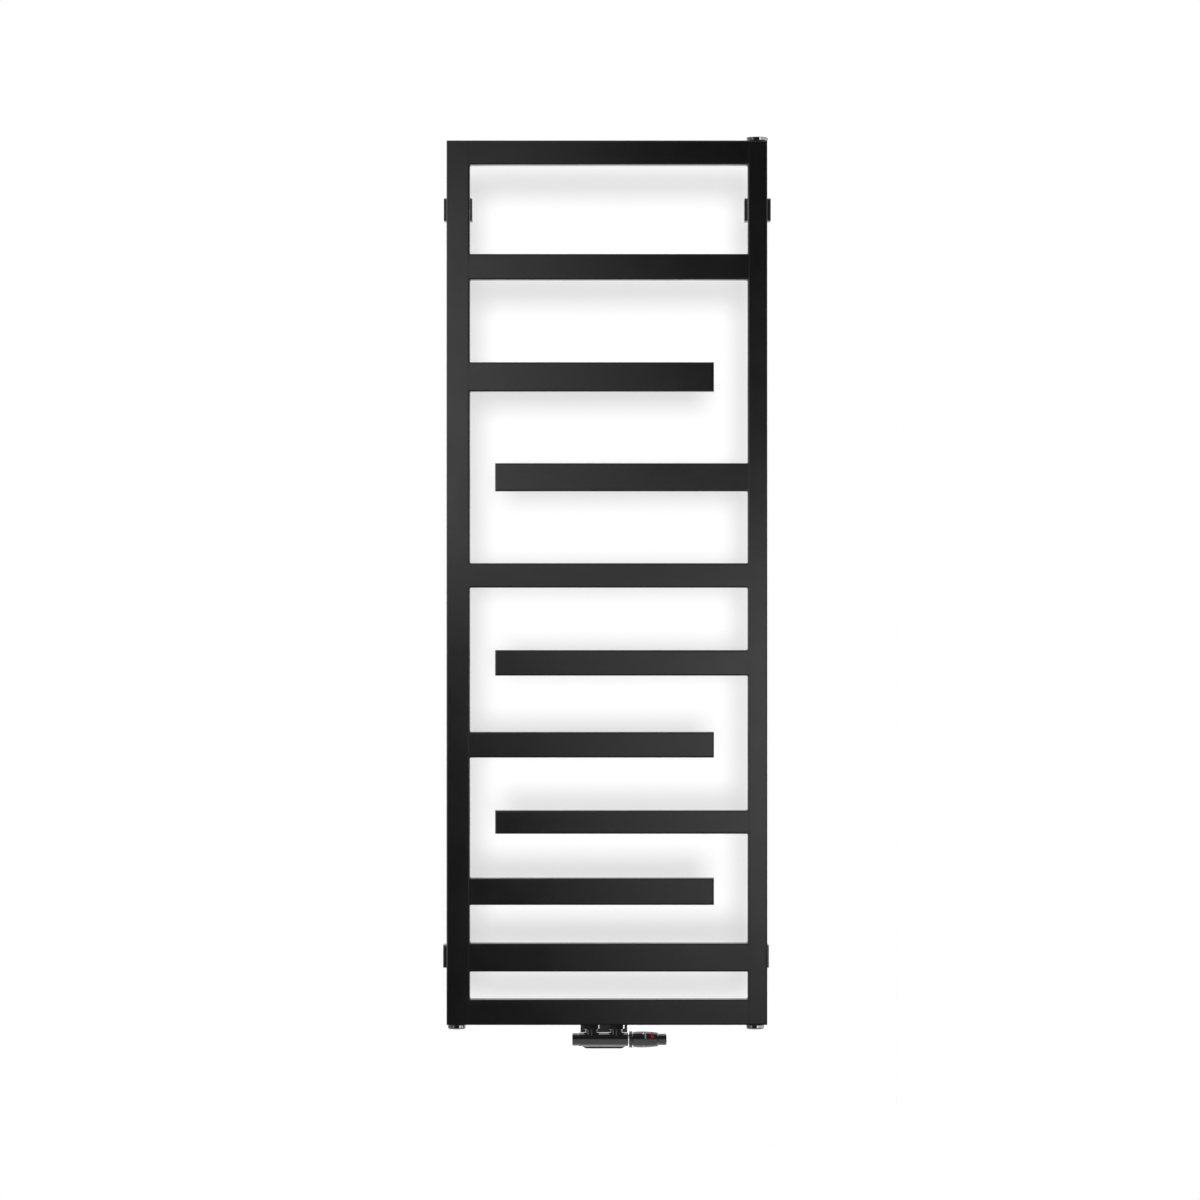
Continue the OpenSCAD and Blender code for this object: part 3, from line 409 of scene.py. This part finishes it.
def close_tube(mesh, rings):
    """Faces between neighbouring rings, and a lid on each end."""
    count = len(rings[0])
    for first, second in zip(rings, rings[1:]):
        for s in range(count):
            mesh.faces.new((first[s], second[s], second[(s + 1) % count], first[(s + 1) % count]))
    mesh.faces.new(rings[0])
    mesh.faces.new(rings[-1][::-1])


def new_piece(name, mesh, finish, body=None):
    """Turns a bmesh into a piece of the object, with its finish and the body it moves with."""
    bmesh.ops.recalc_face_normals(mesh, faces=mesh.faces)
    data = bpy.data.meshes.new(name)
    mesh.to_mesh(data)
    mesh.free()
    for face in data.polygons:
        face.use_smooth = True
    data.materials.append(finish)
    piece = bpy.data.objects.new(name, data)
    bpy.context.scene.collection.objects.link(piece)
    print(name, "has", len(data.vertices), "points and", len(data.polygons), "faces")
    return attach(piece, body) if body else piece


# %% [markdown]
# The drops come from a slow wave, and a little noise keeps two beads from being twins. Each bead
# thins out over its first and last three rings, where the welder started and stopped.

# %% One bead at each joint
BEAD = 1.5 * MM
BEAD_SIDES = 10
DROP_LEVEL, DROP_WAVE, DROP_HEIGHT = 0.9, 2.1, 0.12
ROUGH_SCALE, ROUGH_HEIGHT = 180, 0.1
BEAD_SHIFT = 90  # moves the noise along with x, so that left and right differ
FADE_RINGS, FADE_START = 3, 0.6


def bead_along(mesh, points, x):
    """A closed tube with drops in it, along the points at one x."""
    rings = []
    for k, point in enumerate(points):
        before, after = points[max(k - 1, 0)], points[min(k + 1, len(points) - 1)]
        out = (after - before).normalized().cross(ACROSS)
        from_end = min(k, len(points) - 1 - k)
        ends = min(1, (from_end + FADE_START) / FADE_RINGS)
        rough = noise.noise(point * ROUGH_SCALE + Vector((x * BEAD_SHIFT, 0, 0)))
        drop = DROP_LEVEL + DROP_HEIGHT * math.sin(k * DROP_WAVE) + ROUGH_HEIGHT * rough
        centre = Vector((x, point.y, point.z))
        rings.append(ring_round(mesh, centre, BEAD * drop * ends, ACROSS, out, BEAD_SIDES))
    close_tube(mesh, rings)


left_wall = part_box("left_collector")[1].x
right_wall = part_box("right_collector")[0].x
bars = ["bottom_bar", *(f"bar_{k}" for k in range(1, 10)), "top_bar"]
mesh = bmesh.new()
joints = 0
for bar in bars:
    low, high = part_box(bar)
    for wall in (left_wall, right_wall):
        if low.x - MM < wall < high.x + MM:
            way = way_round(low.z, high.z, low.y, high.y, bar != "top_bar", bar != "bottom_bar")
            bead_along(mesh, way, wall)
            joints += 1
weld_beads = new_piece("weld_beads", mesh, finishes["tube_black"], "radiator")
print(joints, "welded joints")

# %% [markdown]
# ## Springs
# Two coil springs sit inside the valve and its head. One lifts the disc off its seat, and the other
# gives way when the head is turned too far. A curve with a round bevel could draw them. Here each
# is a tube of rings along a helix, and the longer one's end turns are wound closer. One end rests
# on a fixed wall and the other on the moving stem.

# %% Coil springs
WIRE = 0.5 * MM
WIRE_SIDES = 12
TURN_STEPS = 32


def coil_spring(name, node, turns, closing):
    """A wound spring along x in the node's box. Closing is how much nearer together the turns get
    towards the ends."""
    low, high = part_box(node)
    middle = Vector((0, (low.y + high.y) / 2, (low.z + high.z) / 2))
    radius = (high.z - low.z) / 2 - WIRE
    mesh = bmesh.new()
    rings = []
    for k in range(TURN_STEPS * turns + 1):
        t = k / (TURN_STEPS * turns)
        way = t + closing * (t * t * (3 - 2 * t) - t)
        x = low.x + WIRE + (high.x - low.x - 2 * WIRE) * way
        turn = math.tau * k / TURN_STEPS
        out = Vector((0, math.cos(turn), math.sin(turn)))
        rings.append(ring_round(mesh, middle + x * ACROSS + out * radius, WIRE, out, ACROSS, WIRE_SIDES))
    close_tube(mesh, rings)
    spring = new_piece(name, mesh, finishes["steel"])
    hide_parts(node)
    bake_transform(spring)
    print(name, "is", round((high.x - low.x) / MM, 2), "mm long")


coil_spring("pin_coil", "pin_spring", turns=6, closing=0.5)
coil_spring("overtravel_coil", "overtravel_spring", turns=3, closing=0.0)

# %% [markdown]
# ## Printed marks on the head
# A white dot on the fixed barrel is the index, and a grey bar on the handle points to it. They are
# pad-printed ink. A texture could draw them, but a thin skin of real ink keeps a crisp edge from
# close by. Each point is dropped onto the barrel along a line to its axis, so the ink follows it.

# %% White and grey ink
INK_SKIN = {"Speckle": 0.04, "Peel scale": 2500, "Peel height": 4e-6, "Roughness": 0.4,
            "Gloss drift": 0.05}
white_ink, grey_ink = (
    sprayed(name, (shade, shade, shade), INK_SKIN, (0.0002, 0.2, (shade, shade, shade)), 0.0, COATED)
    for name, shade in (("mark_white", 0.55), ("mark_grey", 0.15)))
print("inks:", white_ink.name, "and", grey_ink.name)

# %% Points on the barrel
handle_low, handle_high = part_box("head_handle")
axis_y = (handle_low.y + handle_high.y) / 2
axis_z = (handle_low.z + handle_high.z) / 2
OUTSIDE = 50 * MM


def surface_of(name):
    """The node's surface, ready to be hit by a ray."""
    data = nodes[name].data
    return BVHTree.FromPolygons([v.co for v in data.vertices], [tuple(p.vertices) for p in data.polygons])


def on_barrel(tree, x, angle):
    """The point of the barrel at x and an angle above the front, in degrees."""
    out = Vector((0, -math.cos(math.radians(angle)), math.sin(math.radians(angle))))
    centre = Vector((x, axis_y, axis_z))
    return tree.ray_cast(centre + out * OUTSIDE, -out)[0], out


print("the head turns about y", round(axis_y, 4), "and z", round(axis_z, 4))

# %% A pad of ink
INK = 0.09 * MM
PAD_RINGS = ((1.0, -INK), (1.0, INK * 0.6), (0.94, INK), (0.6, INK), (0.25, INK))


def ink(name, node, body, outline, finish):
    """A thin pad of ink: the outline's rings shrink to the middle, and it stands INK proud."""
    tree = surface_of(node)
    mesh = bmesh.new()
    mid = [sum(p[k] for p in outline) / len(outline) for k in (0, 1)]
    rings = []
    for share, height in PAD_RINGS:
        ring = []
        for x, angle in outline:
            point, out = on_barrel(tree, mid[0] + (x - mid[0]) * share, mid[1] + (angle - mid[1]) * share)
            ring.append(mesh.verts.new(point + out * height))
        rings.append(ring)
    close_tube(mesh, rings)
    return new_piece(name, mesh, finish, body)


print("ink stands", round(INK / MM, 2), "mm proud")

# %% [markdown]
# Both outlines are lists of places on the barrel: how far along it, and how far round it in
# degrees. The pointer has points along its straight sides too, because a side with none would cut
# through the round barrel.

# %% Index dot and pointer bar
BARREL_R = 16.5
DEGREE = math.degrees(1 / BARREL_R)  # how far one millimetre reaches round the barrel
DOT_R, DOT_ANGLE, DOT_POINTS, DOT_LEFT = 1.3, 48, 28, 1.8
dot_x = handle_low.x - DOT_LEFT * MM
dot = [(dot_x + DOT_R * MM * math.cos(a), DOT_ANGLE + DOT_R * DEGREE * math.sin(a))
       for a in (math.tau * k / DOT_POINTS for k in range(DOT_POINTS))]

BAR_HALF, BAR_START, BAR_END, BAR_RIGHT = 1.2, 14.2, 45.8, 3.2
SIDE_POINTS, TIP_POINTS = 12, 10
bar_x = handle_low.x + BAR_RIGHT * MM
pointer = []
for side, near, far in ((1, BAR_START, BAR_END), (-1, BAR_END, BAR_START)):
    pointer += [(bar_x + side * BAR_HALF * MM, near + (far - near) * k / SIDE_POINTS)
                for k in range(SIDE_POINTS)]
    pointer += [(bar_x + side * BAR_HALF * MM * math.cos(a), far + side * BAR_HALF * DEGREE * math.sin(a))
                for a in (math.pi * k / TIP_POINTS for k in range(TIP_POINTS))]
index_dot = ink("index_dot", "head_base", "radiator", dot, white_ink)
pointer_bar = ink("pointer_bar", "head_handle", "handle", pointer, grey_ink)

# %% [markdown]
# ## Room
# A floor and a backdrop stand for the studio. Each shows its own white to the eye and to mirrors
# and adds only what the lamps give it, so shadows stay visible on it. The backdrop is clear from
# behind, so that the warmer's back can be looked at too.

# %% Stage material
def stage_material(name, shade, glow, mirrored):
    """A plain matt sheet, clear from behind, with one glow for the eye and one for mirrors."""
    material = bpy.data.materials.new(name)
    material.use_nodes = True
    tree = material.node_tree
    tree.nodes.clear()
    path = add(tree, "LightPath").outputs
    eye = math_node(tree, "MULTIPLY", path["Is Camera Ray"], glow)
    mirror = math_node(tree, "MAXIMUM", path["Is Glossy Ray"], path["Is Transmission Ray"])
    mirror = math_node(tree, "MULTIPLY", mirror, mirrored)
    strength = math_node(tree, "ADD", eye, mirror)
    light = add(tree, "Emission", {"Color": (1, 1, 1, 1), "Strength": strength})
    matt = add(tree, "BsdfDiffuse", {"Color": (shade, shade, shade, 1)})
    sheet = add(tree, "AddShader", {0: light.outputs[0], 1: matt.outputs[0]})
    clear = add(tree, "BsdfTransparent")
    side = add(tree, "NewGeometry").outputs["Backfacing"]
    mixed = add(tree, "MixShader", {0: side, 1: sheet.outputs[0], 2: clear.outputs[0]})
    tree.links.new(mixed.outputs[0], add(tree, "OutputMaterial").inputs["Surface"])
    print(name, "glows", glow, "to the eye and", mirrored, "to mirrors")
    return material


# %% Floor and backdrop
FLOOR_Z, BACK_Y = -1.5, 0.66
BACK_HALF, BACK_LOW, BACK_HIGH = 0.62, -1.2, 1.12
FLOOR_HALF, FLOOR_NEAR, FLOOR_FAR = 4, -5, 2


def sheet_of(name, corners, material):
    """A single flat sheet."""
    data = bpy.data.meshes.new(name)
    data.from_pydata(corners, [], [(0, 1, 2, 3)])
    data.materials.append(material)
    sheet = bpy.data.objects.new(name, data)
    bpy.context.scene.collection.objects.link(sheet)
    return sheet


floor = sheet_of("floor", [(-FLOOR_HALF, FLOOR_NEAR, FLOOR_Z), (FLOOR_HALF, FLOOR_NEAR, FLOOR_Z),
                           (FLOOR_HALF, FLOOR_FAR, FLOOR_Z), (-FLOOR_HALF, FLOOR_FAR, FLOOR_Z)],
                 stage_material("floor_white", 0.55, 0.55, 0.0))
backdrop = sheet_of("backdrop", [(-BACK_HALF, BACK_Y, BACK_LOW), (BACK_HALF, BACK_Y, BACK_LOW),
                                 (BACK_HALF, BACK_Y, BACK_HIGH), (-BACK_HALF, BACK_Y, BACK_HIGH)],
                    stage_material("backdrop_white", 0.55, 0.53, 0.5))
print("backdrop", BACK_Y, "m behind the wall plane")

# %% [markdown]
# Beyond the sheets is the world. The eye sees it white. Mirrors see a dim room that is nearly black
# on the camera's side, a little lighter behind and to the left, and white straight behind, as on a
# studio set. Matt surfaces get one even level from it.

# %% World
EVEN_LEVEL = 0.35
NEAR_DIM, FAR_DIM = 0.01, 0.2
RIGHT_SHARE = 0.6
WHITE_BEHIND = 0.88
world = bpy.data.worlds.new("studio")
bpy.context.scene.world = world
world.use_nodes = True
tree = world.node_tree
tree.nodes.clear()
path = add(tree, "LightPath").outputs
way = add(tree, "SeparateXYZ", {0: add(tree, "TexCoord").outputs["Generated"]}).outputs
mirrored = math_node(tree, "MAXIMUM", path["Is Glossy Ray"], path["Is Transmission Ray"])
dim = mapped(tree, way["Y"], -1.0, 0.2, NEAR_DIM, FAR_DIM)
dim = math_node(tree, "MULTIPLY", dim, mapped(tree, way["X"], -0.2, 0.4, 1.0, RIGHT_SHARE))
room = math_node(tree, "ADD", dim, mapped(tree, way["Y"], 0.75, 0.95, 0.0, WHITE_BEHIND))
level = add(tree, "Mix", {0: mirrored, 2: EVEN_LEVEL, 3: room}).outputs[0]
level = add(tree, "Mix", {0: path["Is Camera Ray"], 2: level, 3: 1.0}).outputs[0]
sky = add(tree, "Background", {"Color": (1, 1, 1, 1), "Strength": level})
tree.links.new(sky.outputs[0], add(tree, "OutputWorld").inputs["Surface"])
print("world: mirrors see", NEAR_DIM, "ahead and", FAR_DIM, "behind")

# %% [markdown]
# ## Light
# The front light is even and parallel, so it throws a soft copy of the frame on the backdrop. It is
# kept out of reflections, where it would be a hot spot.

# %% Front light
FRONT_STRENGTH, FRONT_SOFTNESS = 2.0, 6.5


def lamp(name, kind, place, energy, **settings):
    """A lamp that the camera doesn't see."""
    data = bpy.data.lights.new(name, kind)
    data.energy = energy
    for key, value in settings.items():
        setattr(data, key, value)
    made = bpy.data.objects.new(name, data)
    made.location = place
    made.visible_camera = False
    bpy.context.scene.collection.objects.link(made)
    return made


front_light = lamp("front_light", "SUN", (0, -8, 0), FRONT_STRENGTH, angle=math.radians(FRONT_SOFTNESS))
front_light.rotation_euler = (math.radians(90), 0, 0)
front_light.visible_glossy = False
print("front light", FRONT_STRENGTH, "with a softness of", FRONT_SOFTNESS, "degrees")

# %% [markdown]
# The sheen on the flat fronts is a long soft band of three cards, laid across the view from upper
# left to lower right. Cards on the left and above give those edges their light line, and one on
# the right, a little behind, keeps that side of the frame from going flat black. The bracket
# covers would be too bright in the side cards, so they get a dim pair of their own.

# %% Cards for the frame
SHEEN_Y = -5
SIDE_X, SIDE_Z, SIDE_HEIGHT = 2.6, 0.4, 2.8


def panel(name, place, size, power, turn=(0, 0, 0)):
    """A flat lamp, its size in metres and its turn in degrees."""
    made = lamp(name, "AREA", place, power, shape="RECTANGLE", size=size[0], size_y=size[1])
    made.rotation_euler = [math.radians(angle) for angle in turn]
    return made


sheens = [panel(name, (x, SHEEN_Y, z), size, power, (90, lean, 0))
          for name, x, z, lean, size, power in (
              ("upper_sheen", -1.21, 0.48, 80, (1.17, 1.6), 11.4),
              ("middle_sheen", -0.03, 0.0, 76, (3.2, 0.53), 4.6),
              ("lower_sheen", 1.06, -0.32, 67, (1.34, 1.56), 11.8))]
side_cards = [panel(name, (side * SIDE_X, y, SIDE_Z), (SIDE_HEIGHT, depth), power, (0, side * 90, 0))
              for name, side, y, depth, power in (
                  ("left_card", -1, -0.75, 4.5, 71), ("right_card", 1, 1.0, 2.4, 26),
                  ("dim_left_card", -1, -0.75, 4.5, 16), ("dim_right_card", 1, 1.0, 2.4, 8.5))]
top_card = panel("top_card", (0, -0.75, 3.0), (3.0, 4.5), 60)
print(len(sheens), "sheens and", len(side_cards) + 1, "edge cards")

# %% [markdown]
# Light linking keeps every card to the pieces that it is for. A collection names those that a lamp
# lights, or with EXCLUDE those that it leaves out. The same works for shadows: the valve set and
# the plugs hang below the frame, and their shadow would only smudge the frame's clean one.

# %% Which piece sees which card
HEAD = ("head_nut", "head_base", "head_handle", "handle_end_cap", "red_mark", "thermostat_insert")
BODY = ("valve_body", "lockshield_cap", "lockshield_housing")
CHROME = ("left_plug", "right_plug", "vent_body", "vent_screw")


def linked(name, pieces, state="INCLUDE"):
    """A collection for light linking, with every piece in it set to one state."""
    made = bpy.data.collections.new(name)
    for piece in pieces:
        made.objects.link(piece)
    for entry in made.collection_objects:
        entry.light_linking.link_state = state
    return made


head_parts = [*(nodes[name] for name in HEAD), index_dot, pointer_bar]
body_parts = [nodes[name] for name in BODY]
valve_parts = [*head_parts, *body_parts, nodes["union_nuts"]]
chrome_parts = [nodes[name] for name in CHROME]
covers = [nodes[name] for name in nodes if name.endswith("_cover")]
not_tubes = [floor, backdrop, *valve_parts, *chrome_parts]
for_head, for_body = linked("for_head", head_parts), linked("for_body", body_parts)
for_valve, for_chrome = linked("for_valve", valve_parts), linked("for_chrome", chrome_parts)
for_tubes = linked("for_tubes", not_tubes, "EXCLUDE")
for_sides = linked("for_sides", not_tubes + covers, "EXCLUDE")
for_covers = linked("for_covers", covers)
for_ring = linked("for_ring", [nodes["thermostat_insert"]])
print(len(valve_parts), "valve pieces,", len(chrome_parts), "chrome pieces and", len(covers), "covers")

# %% Links
for made in (*sheens, top_card):
    made.light_linking.receiver_collection = for_tubes
for made, receivers in zip(side_cards, (for_sides, for_sides, for_covers, for_covers)):
    made.light_linking.receiver_collection = receivers
bar_low, bar_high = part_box("bottom_bar")
below = [nodes[name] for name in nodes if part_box(name)[1].z < bar_high.z and name != "bottom_bar"]
front_light.light_linking.blocker_collection = linked("no_shadow", below, "EXCLUDE")
print(len(below), "pieces below the frame throw no shadow on the backdrop")

# %% [markdown]
# The chrome parts and the valve set are round, so each mirrors most of the room. They have
# reflectors of their own. A quick way to see where one must stand: a cylinder that lies across the
# view mirrors straight down at 45 degrees below its middle. So a card low in front makes the lower
# half grey, and a card low behind draws the light line along the bottom. The bottom bar hides
# anything high and far, so two narrow strips stand close to the valve, one right under the bar and
# one behind, for the light lines along the top.

# %% Reflectors
STRIP_X, STRIP_Y, STRIP_Z = 0.02, axis_y + 24.5 * MM, bar_low.z - 1.5 * MM


def card(name, place, target, size, radiance, receivers):
    """A panel that faces its target. Its power follows from how bright it must look."""
    made = panel(name, place, size, radiance * math.pi * size[0] * size[1])
    made.rotation_euler = (Vector(target) - made.location).to_track_quat("-Z", "Y").to_euler()
    made.light_linking.receiver_collection = receivers


for row in (
        ("low_front_head", (0.1, -1.575, -1.0), (0.1, -1.275, -0.05), (2.4, 2.99), 1.05, for_head),
        ("low_front_body", (0, -1.575, -1.0), (0, -1.275, -0.05), (0.5, 2.99), 1.05, for_body),
        ("low_back", (0.1, 0.94, -1.45), (0.1, 0.94, 0), (2.4, 2.15), 1.8, for_valve),
        ("under_the_bar", (STRIP_X, STRIP_Y, STRIP_Z), (STRIP_X, STRIP_Y, -2), (0.25, 0.071), 2.5, for_valve),
        ("behind_the_valve", (STRIP_X, -0.012, axis_z), (STRIP_X, -1, axis_z), (0.25, 0.055), 1.2, for_valve),
        ("neck_strip", (-1.89, -0.75, -0.8), (0, -0.07, -0.8), (0.6, 1.0), 2.5, for_body),
        ("ring_front", (0.05, -1.2, 0), (0.05, 0, 0), (0.8, 1.95), 0.8, for_ring),
        ("chrome_patch", (1.86, -2.5, 0), (0.1, -0.07, 0), (1.06, 2.6), 1.15, for_chrome),
        ("chrome_right", (2.0, 0, 0), (0, 0, 0), (3.2, 2.6), 0.55, for_chrome),
        ("chrome_left", (-2.26, -2.15, 0), (-0.1, -0.07, 0), (0.85, 2.6), 0.27, for_chrome)):
    card(*row)
    print("reflector", row[0], "at", [round(v, 3) for v in row[1]])
